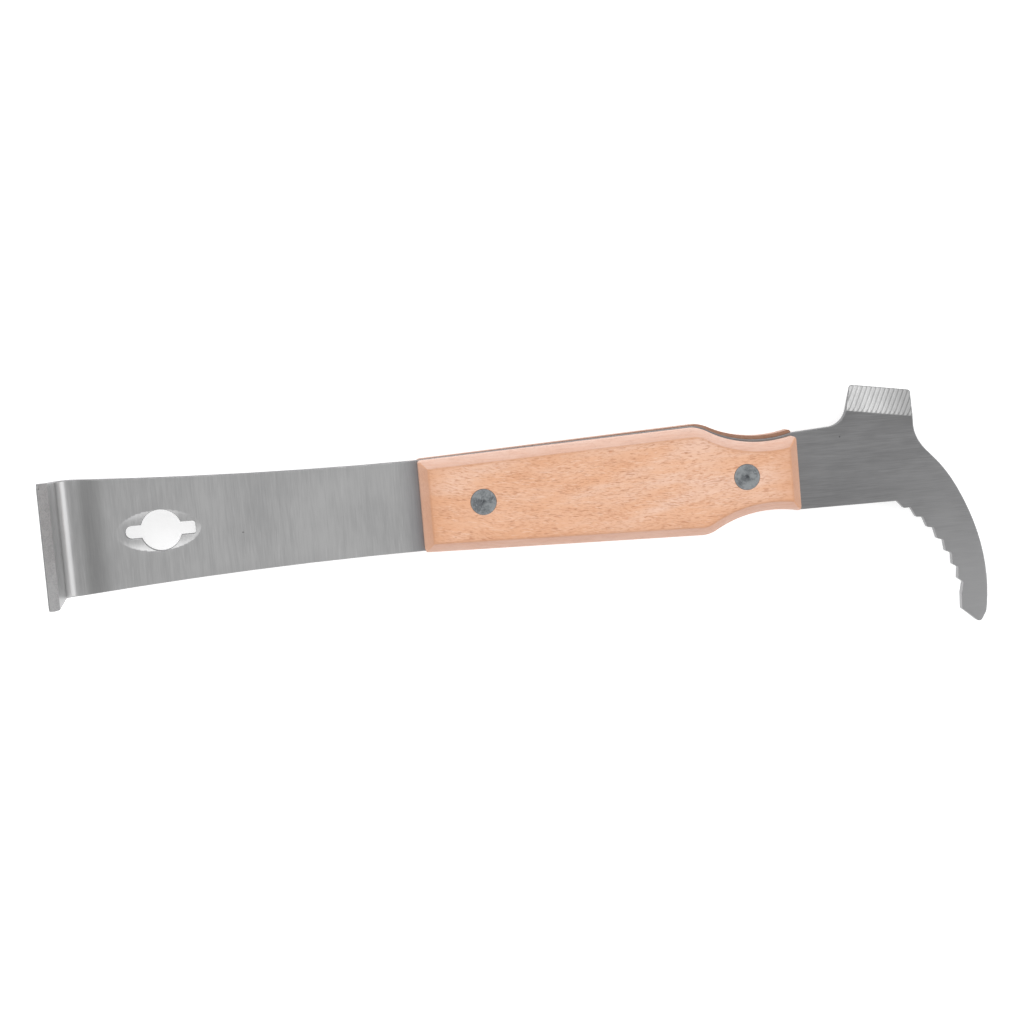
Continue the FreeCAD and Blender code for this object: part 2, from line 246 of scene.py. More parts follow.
def scale_profile():
    """Inset and height of the section: side, lower round, 45 degree bevel, upper round, flat face."""
    turn = np.linspace(0.0, math.pi / 4, 7)
    low_reach = ROUND_LOW * math.tan(math.pi / 8)
    high_reach = ROUND_HIGH * math.tan(math.pi / 8)
    base = WOOD_T - BEVEL
    side = np.array([[0.0, 0.0], [0.0, 0.12], [0.0, base * 0.4], [0.0, base * 0.8]])
    lower = np.stack([ROUND_LOW * (1 - np.cos(turn)), base - low_reach + ROUND_LOW * np.sin(turn)], axis=1)
    upper = np.stack([BEVEL + high_reach - ROUND_HIGH * np.sin(turn[::-1]),
                      WOOD_T - ROUND_HIGH * (1 - np.cos(turn[::-1]))], axis=1)
    return np.concatenate([side, lower, upper])


def towards_spine(ring, shrink):
    """The ring drawn on to the middle line; at a shrink of 1 it is 3 percent as wide."""
    drawn = ring.copy()
    drawn[:, 0] += (np.clip(ring[:, 0], SPINE_LEFT, SPINE_RIGHT) - ring[:, 0]) * shrink
    drawn[:, 1] *= 1 - 0.97 * shrink
    return drawn


def wooden_scale(name, upper_flank, inner_z, direction):
    """The outline at each level of the profile, then rings that shrink on to a spine to close both faces."""
    profile = scale_profile()
    count = len(handle_loop(upper_flank, 0.0))
    rings = [np.column_stack([handle_loop(upper_flank, d), np.full(count, z)]) for d, z in profile]
    wear = [np.full(count, math.exp(-((d - BEVEL) / 0.45)**2)) for d, _ in profile]
    for shrink in (0.12, 0.3, 0.6, 1.0):
        rings.append(towards_spine(rings[len(profile) - 1], shrink))
        wear.append(np.full(count, math.exp(-(shrink * 12 / 0.9)**2)))
    rings.insert(0, towards_spine(rings[0], 1.0))
    wear.insert(0, np.zeros(count))
    points = np.concatenate(rings)
    points[:, 2] = inner_z + direction * points[:, 2]
    faces = grid_faces(len(rings), count)
    first = list(range(count))
    last = [(len(rings) - 1) * count + i for i in first]
    faces += [first[::-1], last]
    if direction < 0:
        faces = [f[::-1] for f in faces]
    piece = new_piece(name, points, faces)
    add_attribute(piece, "wear", np.concatenate(wear))
    return piece


# %% [markdown]
# ## Turned pieces
# A rivet is turned on a lathe, so it is a profile spun round an axis. The same formula makes the drill
# that opens the rivet holes: its profile is the stepped hole, a shade wider than the rivet's head.
# %% Surface of revolution


def spun(name, centre_x, profile, count=72):
    """A profile of (radius, height) pairs spun about the upright through the centre, closed at both ends."""
    turn = np.linspace(0.0, 2 * math.pi, count, endpoint=False)
    radius, height = np.array(profile).T
    x = centre_x + radius[:, None] * np.cos(turn)
    y = radius[:, None] * np.sin(turn)
    z = np.repeat(height[:, None], count, axis=1)
    points = np.stack([x, y, z], axis=-1).reshape(-1, 3)
    faces = grid_faces(len(profile), count)
    last = (len(profile) - 1) * count
    faces += [list(range(count))[::-1], [last + i for i in range(count)]]
    return new_piece(name, points, faces)


def drill(piece, centre_x, profile):
    """Cut a turned shape out of a piece and keep the result as its mesh."""
    bit = spun("drill_bit", centre_x, profile)
    cut = piece.modifiers.new("rivet_hole", "BOOLEAN")
    cut.operation, cut.solver, cut.object = "DIFFERENCE", "EXACT", bit
    depsgraph = bpy.context.evaluated_depsgraph_get()
    finished = bpy.data.meshes.new_from_object(piece.evaluated_get(depsgraph))
    piece.modifiers.clear()
    old = piece.data
    piece.data = finished
    bpy.data.meshes.remove(old)
    bpy.data.objects.remove(bit)


HEAD_R = (RIVETS["hook_end_rivet_post"][1][0] - RIVETS["hook_end_rivet_post"][0][0]) / 2
HEAD_T, BARREL_R, POST_R, POST_GAP = 2.4, 2.8, 1.7, 1.2
HOLE_GAP, HOLE_EASE = 0.06, 0.12
RIVET_X = sorted({round(float(low[0] + high[0]) / 2, 1) for low, high in RIVETS.values()})
print("rivets at x", RIVET_X)

front_scale = wooden_scale("front_scale_wood", FRONT_UPPER, STEEL_FACE, 1)
back_scale = wooden_scale("back_scale_wood", BACK_UPPER, STEEL_BACK, -1)
HOLE_R = HEAD_R + HOLE_GAP
for x in RIVET_X:
    shoulder = HANDLE_TOP - HEAD_T
    drill(front_scale, x, [(BARREL_R, STEEL_FACE - 1), (BARREL_R, shoulder), (HOLE_R, shoulder),
                           (HOLE_R, HANDLE_TOP - HOLE_EASE), (HOLE_R + HOLE_EASE, HANDLE_TOP),
                           (HOLE_R + HOLE_EASE, HANDLE_TOP + 1)])
    drill(back_scale, x, [(HOLE_R + HOLE_EASE, -1), (HOLE_R + HOLE_EASE, 0), (HOLE_R, HOLE_EASE),
                          (HOLE_R, HEAD_T), (BARREL_R, HEAD_T), (BARREL_R, STEEL_BACK + 1)])
for piece, node in ((front_scale, "front_scale"), (back_scale, "back_scale")):
    shade(piece, 20)
    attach(piece, "root")
    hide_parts(node)
    print(piece.name, "faces", len(piece.data.polygons))

# %% [markdown]
# ## Rivets
# Each rivet is a post pressed into a sleeve. Both heads are turned almost flat, with a thin lip at the
# rim and a small centre mark where the lathe's centre held them. The head is dished by a few hundredths
# of a millimetre, so that it catches the light across its width. Each end of the spun profile is a tiny
# disc.
# %% Rivet heads

LIP, POLE_R = 0.3, 0.03


def head_profile():
    """Radius and depth below the surface: centre mark, gentle dish, then a sharp lip, hollow under it."""
    r = np.array([POLE_R, 0.25, 0.55, 0.75, 0.85, 1.0, 1.6, 2.2, 2.8, 3.3, HEAD_R - 0.35])
    centre_mark = 0.22 * np.cos(np.clip(r / 0.85, 0.0, 1.0) * math.pi / 2)**2
    dish = 0.05 * np.cos(np.clip(r / HEAD_R, 0, 1) * math.pi / 2)**2
    face = list(zip(r, centre_mark + dish))
    turn = np.linspace(math.pi / 2, 0, 6)
    rim = [(HEAD_R - LIP * math.cos(t), LIP - LIP * math.sin(t)) for t in turn]
    return face + rim


def post_profile():
    """The front half, from the tip of its post up to the middle of its head."""
    tip = HEAD_T + 2 * POST_GAP
    shoulder = HANDLE_TOP - HEAD_T
    stem = [(POLE_R, tip), (POST_R - 0.25, tip), (POST_R, tip + 0.25),
            (POST_R, shoulder), (HEAD_R, shoulder)]
    return stem + [(r, HANDLE_TOP - d) for r, d in reversed(head_profile())]


def sleeve_profile():
    """The back half, from the middle of its head round the barrel and down into its well."""
    top = HANDLE_TOP - HEAD_T
    barrel = [(HEAD_R, HEAD_T), (BARREL_R, HEAD_T), (BARREL_R, top), (POST_R, top),
              (POST_R, HEAD_T + POST_GAP), (POLE_R, HEAD_T + POST_GAP)]
    return head_profile() + barrel


rivet_pieces = []
for end, x in zip(("scraper_end", "hook_end"), RIVET_X):
    for half, profile in (("post", post_profile()), ("sleeve", sleeve_profile())):
        piece = spun(end + "_turned_" + half, x, profile, 96)
        shade(piece, 30)
        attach(piece, "root")
        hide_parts(end + "_rivet_" + half)
        rivet_pieces.append(piece)
        print(piece.name, "faces", len(piece.data.polygons))

# %% [markdown]
# ## The steel's outline
# The blade's plan is full of detail: teeth, tab, knees, holes. All of it is on the back face of the
# blade's node, so the outline is read from there. An edge of that face that belongs to only one triangle
# is on its border, and chaining such edges gives the outer loop and one loop for each hole.
# %% Reading the plan from the frame


def border_loops(node, level):
    """Border loops of a node's flat face, longest first; holes run the other way round from the outline."""
    mesh = nodes[node].data
    points = np.round(read_out(mesh.vertices, "co", 3) / MM, 3)
    mesh.calc_loop_triangles()
    corners = read_out(mesh.loop_triangles, "vertices", 3, np.int32)
    places, same = np.unique(points, axis=0, return_inverse=True)
    triangles = same.reshape(-1)[corners]
    triangles = triangles[(np.abs(places[triangles][:, :, 2] - level) < 0.002).all(axis=1)]
    edges = np.concatenate([triangles[:, [0, 1]], triangles[:, [1, 2]], triangles[:, [2, 0]]])
    known = set(map(tuple, edges.tolist()))
    follow = {b: a for a, b in known if (b, a) not in known}
    loops = []
    while follow:
        start, at = follow.popitem()
        chain = [start]
        while at != start:
            chain.append(at)
            at = follow.pop(at)
        loops.append(places[chain][:, :2])
    return sorted(loops, key=lambda l: -np.ptp(l[:, 0]))


def evened(loop, shortest, longest):
    """The loop without its crowded points, its edges split where they are longer than allowed there."""
    ahead, behind = np.roll(loop, -1, axis=0) - loop, loop - np.roll(loop, 1, axis=0)
    crossed = behind[:, 0] * ahead[:, 1] - behind[:, 1] * ahead[:, 0]
    turn = np.abs(np.arctan2(crossed, (behind * ahead).sum(axis=1)))
    kept = []
    for i in np.argsort(-turn):
        if all(np.abs(loop[i] - loop[j]).sum() > shortest for j in kept):
            kept.append(i)
    kept = loop[sorted(kept)]
    parts = []
    for a, b in zip(kept, np.roll(kept, -1, axis=0)):
        parts.append(run(a, b, max(1, math.ceil(np.linalg.norm(b - a) / longest((a + b) / 2)))))
    return np.concatenate(parts)


plan_loops = border_loops("blade", STEEL_BACK)
BEND_X = plan_loops[0][:, 0].min()
print("bend starts at x", round(float(BEND_X), 2), "border points", [len(l) for l in plan_loops])

# %% [markdown]
# ## Unrolling the bend
# The scraper's end is easiest to shape while it is still flat, as the smith had it: the plan is drawn
# with the upright part unrolled, and one formula bends every point afterwards. A point past the bend line
# turns about the bend's centre by its distance over the radius of the steel's middle layer, and what is
# left over runs straight up.
# %% Bend formula

STEEL_T = STEEL_FACE - STEEL_BACK
SCRAPER_X, SCRAPER_TOP = blade_low[0], blade_high[2]
BEND_R = BEND_X - SCRAPER_X - STEEL_T
MIDDLE_R = BEND_R + STEEL_T / 2
ARC_LENGTH = MIDDLE_R * math.pi / 2
WALL = SCRAPER_TOP - STEEL_FACE - BEND_R
FLARE, EDGE_CORNER = 1.35, 2.0
EDGE_X = BEND_X - ARC_LENGTH - WALL


def bend(points):
    """Unrolled points (x, y, height above the back face) bent into place."""
    x, y, h = points.T
    past = np.clip(BEND_X - x, 0.0, None)
    turn = np.clip(past / MIDDLE_R, 0.0, math.pi / 2)
    straight = np.clip(past - ARC_LENGTH, 0.0, None)
    radius = BEND_R + STEEL_T - h
    new_x = np.where(past > 0, BEND_X, x) - radius * np.sin(turn)
    new_z = STEEL_FACE + BEND_R - radius * np.cos(turn) + straight
    return np.column_stack([new_x, y, new_z])


def unrolled_outline():
    """The outer loop with the bend line swapped for the flared, round-cornered end, still flat."""
    outer = plan_loops[0]
    outer = np.roll(outer, -int(np.argmax(outer[:, 1] - 4 * outer[:, 0])) - 1, axis=0)
    on_line = np.abs(outer[:, 0] - BEND_X) < 0.01
    half = outer[on_line][:, 1].max()
    t = np.linspace(0.0, 1.0, 14)[1:, None]
    root, foot = np.array([BEND_X, half]), np.array([BEND_X - ARC_LENGTH, half])
    tip = np.array([EDGE_X, half + FLARE])
    wall_side = foot * (1 - t) + tip * t
    side = np.concatenate([root * (1 - t) + foot * t, wall_side])
    round_tip = corner(foot, tip, np.array([EDGE_X, 0.0]), EDGE_CORNER, 9)
    side = np.concatenate([side[side[:, 0] > round_tip[0, 0] + 0.2], round_tip])
    across = run(side[-1], side[-1] * [1, -1], 24)[1:]
    mirrored = side[::-1] * [1, -1]
    keep = outer[~on_line]
    first = np.array([[BEND_X, half]])
    return np.concatenate([keep, first, side, across, mirrored, first * [1, -1]])


print("bend radius", round(float(BEND_R), 2), "upright", round(float(WALL), 2))

# %% [markdown]
# ## Ground shapes in the face
# Three places were ground after cutting, and each is a formula for how far the face lies below the flat
# sheet: the spindle-shaped relief round the nail hole, the wedge and its ribs on the hammer tab, and the
# thin bevel inside the scraper's edge. The grooves are shallow curves side by side, so sharp crests stay
# between them.
# %% Depth of grinding

RELIEF_X = -141.4
RELIEF_L, RELIEF_W, RELIEF_DEPTH = 13.2, 6.5, 1.5
SPINDLE_R = (RELIEF_W**2 + RELIEF_DEPTH**2) / (2 * RELIEF_DEPTH)
SWEEP_R = (RELIEF_L**2 + RELIEF_DEPTH**2) / (2 * RELIEF_DEPTH)
TAB_LEFT, TAB_RIGHT = np.array([77.9, 25.2]), np.array([97.2, 21.9])
TAB_BEVEL, TAB_EDGE_T = 8.2, 1.0
RIB_PITCH, RIB_DEPTH, RIB_LEAN = 1.46, 0.25, math.radians(18.0)
EDGE_BEVEL, EDGE_BEVEL_H = 2.6, 3.2
TAB_FROM_X, TAB_FROM_Y = 60.0, 8.0
TAB_ALONG = (TAB_RIGHT - TAB_LEFT) / np.linalg.norm(TAB_RIGHT - TAB_LEFT)
TAB_IN = np.array([TAB_ALONG[1], -TAB_ALONG[0]])


def relief_depth(x, y):
    """A spindle dipped into the face: its radius falls off along the tool as a long arc."""
    away = np.clip(np.abs(x - RELIEF_X), 0.0, SWEEP_R)
    radius = np.clip(SPINDLE_R - SWEEP_R + np.sqrt(SWEEP_R**2 - away**2), 0.0, None)
    dip = np.sqrt(np.clip(radius**2 - y**2, 0.0, None)) - (SPINDLE_R - RELIEF_DEPTH)
    return np.clip(dip, 0.0, None)


def tab_place(x, y):
    """Distance in from the tab's end, and distance along it counted in ribs, with a groove at its corner."""
    offset = np.stack([x, y], axis=-1) - TAB_LEFT
    inward = offset @ TAB_IN
    along = offset @ TAB_ALONG + inward * math.tan(RIB_LEAN)
    return inward, along / RIB_PITCH + 0.5


def tab_depth(x, y):
    """The tab's wedge, with a groove cut into it between every two crests."""
    inward, rib = tab_place(x, y)
    on_tab = (x > TAB_FROM_X) & (y > TAB_FROM_Y)
    wedge = (STEEL_T - TAB_EDGE_T) * np.clip(1 - inward / TAB_BEVEL, 0.0, 1.1)
    groove = RIB_DEPTH * (1 - (2 * (rib % 1.0) - 1)**2)
    runout = np.clip((TAB_BEVEL + 0.3 - inward) / 1.2, 0.0, 1.0)
    return np.where(on_tab, wedge + groove * runout, 0.0)


def edge_depth(x):
    """The bevel inside the scraper's edge."""
    return EDGE_BEVEL * np.clip((EDGE_X + EDGE_BEVEL_H - x) / EDGE_BEVEL_H, 0.0, 1.0)


def face_height(x, y):
    """Height of the ground face above the back face, in the unrolled sheet."""
    return STEEL_T - np.maximum(np.maximum(relief_depth(x, y), tab_depth(x, y)), edge_depth(x))


def outline_step(point):
    """Longest edge allowed near a point of the outline: short where the ribs run out at the tab's end."""
    inward, _ = tab_place(*point)
    return 0.2 if inward < 0.5 and point[0] > TAB_FROM_X else 1.1


outline = evened(unrolled_outline(), 0.16, outline_step)
hole_loops = [evened(loop, 0.12, lambda point: 0.6) for loop in plan_loops[1:]]
print("outline points", len(outline), "unrolled length", round(float(np.ptp(outline[:, 0])), 2))

# %% [markdown]
# ## Filling the faces
# A face with teeth and holes can't be one grid. Points are sown over it instead: sparse where it is flat,
# dense where it is ground or bent. A Delaunay fill then joins them without crossing the border loops.
# %% Sowing and filling

FAR_OUT = 400.0


def sown(x0, x1, y0, y1, step_x, step_y):
    """A plain grid of points over a rectangle."""
    x, y = np.meshgrid(np.arange(x0, x1, step_x), np.arange(y0, y1, step_y), indexing="ij")
    return np.column_stack([x.ravel(), y.ravel()])


def clear_of(points, loop, margin):
    """Which points lie inside a loop by the even-odd rule, and no nearer to it than the margin."""
    a, b = loop, np.roll(loop, -1, axis=0)
    side = b - a
    inside = np.zeros(len(points), bool)
    clear = np.zeros(len(points), bool)
    for part in np.array_split(np.arange(len(points)), max(1, len(points) // 1500)):
        p = points[part][:, None, :]
        crosses = (a[:, 1] > p[..., 1]) != (b[:, 1] > p[..., 1])
        rise = np.where(side[:, 1] == 0, 1e-9, side[:, 1])
        reach = a[:, 0] + (p[..., 1] - a[:, 1]) * side[:, 0] / rise
        inside[part] = (crosses & (p[..., 0] < reach)).sum(axis=1) % 2 == 1
        t = np.clip(((p - a) * side).sum(axis=2) / np.maximum((side**2).sum(axis=1), 1e-12), 0.0, 1.0)
        gap = p - (a + t[..., None] * side)
        clear[part] = (gap**2).sum(axis=2).min(axis=1) >= margin**2
    return inside, clear


def drawn_in(loop, distance):
    """The loop moved into the metal by the distance, square to its edges; holes run the other way round."""
    before, after = loop - np.roll(loop, 1, axis=0), np.roll(loop, -1, axis=0) - loop
    before /= np.maximum(np.linalg.norm(before, axis=1, keepdims=True), 1e-9)
    after /= np.maximum(np.linalg.norm(after, axis=1, keepdims=True), 1e-9)
    tangent = before + after
    tangent /= np.maximum(np.linalg.norm(tangent, axis=1, keepdims=True), 1e-9)
    normal = np.column_stack([tangent[:, 1], -tangent[:, 0]])
    lean = np.clip(np.abs((tangent * after).sum(axis=1)), 0.75, 1.0)
    return loop - normal * (distance / lean)[:, None]


def in_metal(points, loops, margin):
    """Which points lie inside the first loop and outside the others, clear of all by the margin."""
    inside, clear = clear_of(points, loops[0], margin)
    kept = inside & clear
    for hole in loops[1:]:
        inside, clear = clear_of(points, hole, margin)
        kept &= ~inside & clear
    return kept


def fill(loops, seeds, margin):
    """Triangles over the metal inside the loops, through the sown points; unused points are left out."""
    far = FAR_OUT * np.array([[-1.0, -1.0], [1.0, -1.0], [1.0, 1.0], [-1.0, 1.0]])
    points = np.concatenate(loops + [seeds[in_metal(seeds, loops, margin)], far])
    edges, start = [], 0
    for loop in loops:
        edges += [(start + i, start + (i + 1) % len(loop)) for i in range(len(loop))]
        start += len(loop)
    places, _, faces, *_ = delaunay_2d_cdt([Vector(p) for p in points], edges, [], 0, 1e-6)
    places, faces = np.array([tuple(p) for p in places]), np.array([list(f) for f in faces])
    kept = in_metal(places[faces].mean(axis=1), loops, 0.0)
    used, renumbered = np.unique(faces[kept], return_inverse=True)
    return places[used], renumbered.reshape(-1, 3)


# %% [markdown]
# ## Building the blade
# The rim of the sheet is a profile carried round each loop: a quarter round at the face, the straight
# side, and a quarter round at the back. The faces are filled between the drawn-in loops, lifted to their
# ground height, joined to the rims, and everything is bent at once.
# %% Blade

SOFT_EDGE = 0.22
SOWN_L, SOWN_W = 14, 7.5


def rim(loop):
    """The rounded side of the sheet along one loop, as rings from the face down to the back."""
    turn = np.linspace(0.0, math.pi / 2, 4)
    top = face_height(*drawn_in(loop, SOFT_EDGE).T)
    soft = np.minimum(SOFT_EDGE, 0.4 * top)
    rings = []
    for angle in turn:
        ring = drawn_in(loop, SOFT_EDGE * (1 - math.sin(angle)))
        rings.append(np.column_stack([ring, top - soft * (1 - math.cos(angle))]))
    for angle in turn[::-1]:
        ring = drawn_in(loop, SOFT_EDGE * (1 - math.sin(angle)))
        rings.append(np.column_stack([ring, soft * (1 - math.cos(angle))]))
    points = np.concatenate(rings)
    faces = np.array(grid_faces(len(rings), len(loop)))
    return points, faces[:, ::-1]


def tab_seeds():
    """Rows of points along every rib, eight to a rib, and the line where the wedge starts."""
    per_rib, rows = 8, 30
    rib = np.arange(-3, 17, 1 / per_rib)
    wedge_start = TAB_BEVEL + np.array([-0.6, -0.3, 0.0, 0.3, 0.9])
    inward = np.concatenate([np.linspace(0.4, TAB_BEVEL - 0.9, rows), wedge_start])
    r, i = np.meshgrid(rib, inward, indexing="ij")
    along = r * RIB_PITCH - i * math.tan(RIB_LEAN)
    return (TAB_LEFT + along[..., None] * TAB_ALONG + i[..., None] * TAB_IN).reshape(-1, 2)


def relief_seeds():
    """Points over the relief, with a row exactly on its border."""
    t = np.linspace(0.0, 2 * math.pi, 160, endpoint=False)
    border = np.column_stack([RELIEF_X + RELIEF_L * np.cos(t), np.zeros(len(t))])
    radius = SPINDLE_R - SWEEP_R + np.sqrt(SWEEP_R**2 - (border[:, 0] - RELIEF_X)**2)
    half = np.sqrt(np.clip(radius**2 - (SPINDLE_R - RELIEF_DEPTH)**2, 0.0, None))
    border[:, 1] = np.sign(np.sin(t)) * half
    grid = sown(RELIEF_X - SOWN_L, RELIEF_X + SOWN_L, -SOWN_W, SOWN_W, 0.45, 0.45)
    away = np.abs(relief_depth(*grid.T)) > 0.02
    return np.concatenate([border, grid[away]])


def face_seeds():
    """All points sown on the front face."""
    y_top = 20.0
    bend_rows = sown(BEND_X - ARC_LENGTH, BEND_X + 0.5, -y_top, y_top, ARC_LENGTH / 14, 1.6)
    wall_rows = sown(EDGE_X + 0.8, BEND_X - ARC_LENGTH - 1, -y_top, y_top, 1.1, 1.6)
    edge_row = sown(EDGE_X + EDGE_BEVEL_H, EDGE_X + EDGE_BEVEL_H + 0.1, -y_top, y_top, 1.0, 0.8)
    plain = sown(BEND_X + 2.5, blade_high[0], blade_low[1], blade_high[1], 2.4, 2.4)
    near_relief = (np.abs(plain[:, 0] - RELIEF_X) < SOWN_L) & (np.abs(plain[:, 1]) < SOWN_W)
    inward, _ = tab_place(*plain.T)
    near_tab = (plain[:, 0] > 65) & (inward < TAB_BEVEL + 1.4)
    plain = plain[~near_relief & ~near_tab]
    return np.concatenate([bend_rows, wall_rows, edge_row, plain, relief_seeds(), tab_seeds()])


def steel_blade():
    """Rims and filled faces in the flat, joined, then bent."""
    loops = [outline] + hole_loops
    points, faces = [], []
    start = 0
    for loop in loops:
        p, f = rim(loop)
        points.append(p)
        faces += (f + start).tolist()
        start += len(p)
    inner = [drawn_in(loop, SOFT_EDGE) for loop in loops]
    back_seeds = sown(EDGE_X + 1, blade_high[0], blade_low[1], blade_high[1], 1.2, 2.4)
    for seeds, margin, front in ((face_seeds(), 0.16, True), (back_seeds, 0.4, False)):
        flat, triangles = fill(inner, seeds, margin)
        height = face_height(*flat.T) if front else np.zeros(len(flat))
        points.append(np.column_stack([flat, height]))
        faces += (triangles[:, ::1 if front else -1] + start).tolist()
        start += len(flat)
    piece = new_piece("steel_blade", bend(np.concatenate(points)), faces)
    work = bmesh.new()
    work.from_mesh(piece.data)
    bmesh.ops.remove_doubles(work, verts=work.verts, dist=0.002 * MM)
    open_edges = sum(1 for e in work.edges if not e.is_manifold)
    work.to_mesh(piece.data)
    work.free()
    print("blade faces", len(piece.data.polygons), "open edges", open_edges)
    return piece


blade = steel_blade()
weighted_shade(blade, 30)
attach(blade, "root")
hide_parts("blade")

# %% [markdown]
# ## Writing shaders as sums
# A node tree reads better as arithmetic. The class below wraps one socket, so that adding or multiplying
# two sockets adds the Math node that does it. Colours are mixed by their own node, because Math would
# turn them grey.
# %% Sockets that do arithmetic


class Socket:
    """An output of a node tree that can be added, taken away, multiplied and raised like a number."""

    def __init__(self, tree, link):
        self.tree, self.link = tree, link

    def _math(self, operation, *values):
        return self.tree.add("ShaderNodeMath", {"operation": operation}, dict(enumerate(values)))

    def __add__(self, other):
        return self._math("ADD", self, other)

    def __sub__(self, other):
        return self._math("SUBTRACT", self, other)

    def __mul__(self, other):
        return self._math("MULTIPLY", self, other)

    def __pow__(self, other):
        return self._math("POWER", self, other)

    def __radd__(self, other):
        return self._math("ADD", other, self)

    def __rsub__(self, other):
        return self._math("SUBTRACT", other, self)

    def __rmul__(self, other):
        return self._math("MULTIPLY", other, self)


class Finish:
    """A material being written: its Principled shader, and one method that adds any other node."""

    def __init__(self, name, **constants):
        self.material = bpy.data.materials.new(name)
        self.material.use_nodes = True
        self.nodes = self.material.node_tree.nodes
        self.links = self.material.node_tree.links
        self.shader = self.nodes["Principled BSDF"]
        for socket, value in constants.items():
            self.shader.inputs[socket.replace("_", " ")].default_value = value

    def add(self, kind, settings=None, values=None, output=0):
        """Add a node: its settings first, then a value or a link for each named or numbered input."""
        node = self.nodes.new(kind)
        for key, value in (settings or {}).items():
            if key == "stops":
                self._stops(node, value)
            else:
                setattr(node, key, value)
        for key, value in (values or {}).items():
            self.feed(node.inputs[key], value)
        return Socket(self, node.outputs[output])

    def _stops(self, node, stops):
        ramp = node.color_ramp
        while len(ramp.elements) < len(stops):
            ramp.elements.new(0.5)
        for element, (place, colour) in zip(ramp.elements, stops):
            element.position, element.color = place, (*colour, 1.0)

    def feed(self, target, value):
        """Link a socket into an input, or set the input to a plain value."""
        if isinstance(value, Socket):
            self.links.new(value.link, target)
        elif isinstance(value, tuple) and len(value) == 3 and target.type == "RGBA":
            target.default_value = (*value, 1.0)
        else:
            target.default_value = value

    def set(self, name, value):
        self.feed(self.shader.inputs[name], value)

    def place(self, scale=(1000.0, 1000.0, 1000.0), turn=0.0, shift=(0.0, 0.0, 0.0)):
        """The point on the piece, turned about the upright, then scaled; 1000 counts millimetres."""
        here = self.add("ShaderNodeTexCoord", output=3)
        turned = self.add("ShaderNodeMapping", {}, {"Vector": here, "Rotation": (0.0, 0.0, turn)})
        return self.add("ShaderNodeMapping", {}, {"Vector": turned, "Scale": scale, "Location": shift})

    def parts(self, vector):
        """The x, y and z of a vector."""
        node = self.nodes.new("ShaderNodeSeparateXYZ")
        self.feed(node.inputs[0], vector)
        return [Socket(self, node.outputs[i]) for i in range(3)]

    def noise(self, vector, scale, detail=2.0, roughness=0.5, distortion=0.0):
        values = {"Vector": vector, "Scale": scale, "Detail": detail, "Roughness": roughness,
                  "Distortion": distortion}
        return self.add("ShaderNodeTexNoise", {}, values)

    def step(self, value, low, high, to_low=0.0, to_high=1.0):
        """A smooth rise from to_low to to_high while the value goes from low to high."""
        values = {0: value, 1: low, 2: high, 3: to_low, 4: to_high}
        return self.add("ShaderNodeMapRange", {"interpolation_type": "SMOOTHSTEP"}, values)

    def mix(self, factor, a, b, kind="MIX"):
        """One colour laid over another by the factor."""
        settings = {"data_type": "RGBA", "blend_type": kind, "clamp_factor": True}
        return self.add("ShaderNodeMix", settings, {0: factor, 6: a, 7: b}, output=2)

    def bump(self, height, distance_mm, strength=1.0, under=None):
        """Relief of the given depth in millimetres, on top of another relief if there is one."""
        values = {"Height": height, "Distance": distance_mm * MM, "Strength": strength}
        if under is not None:
            values["Normal"] = under
        return self.add("ShaderNodeBump", {}, values)
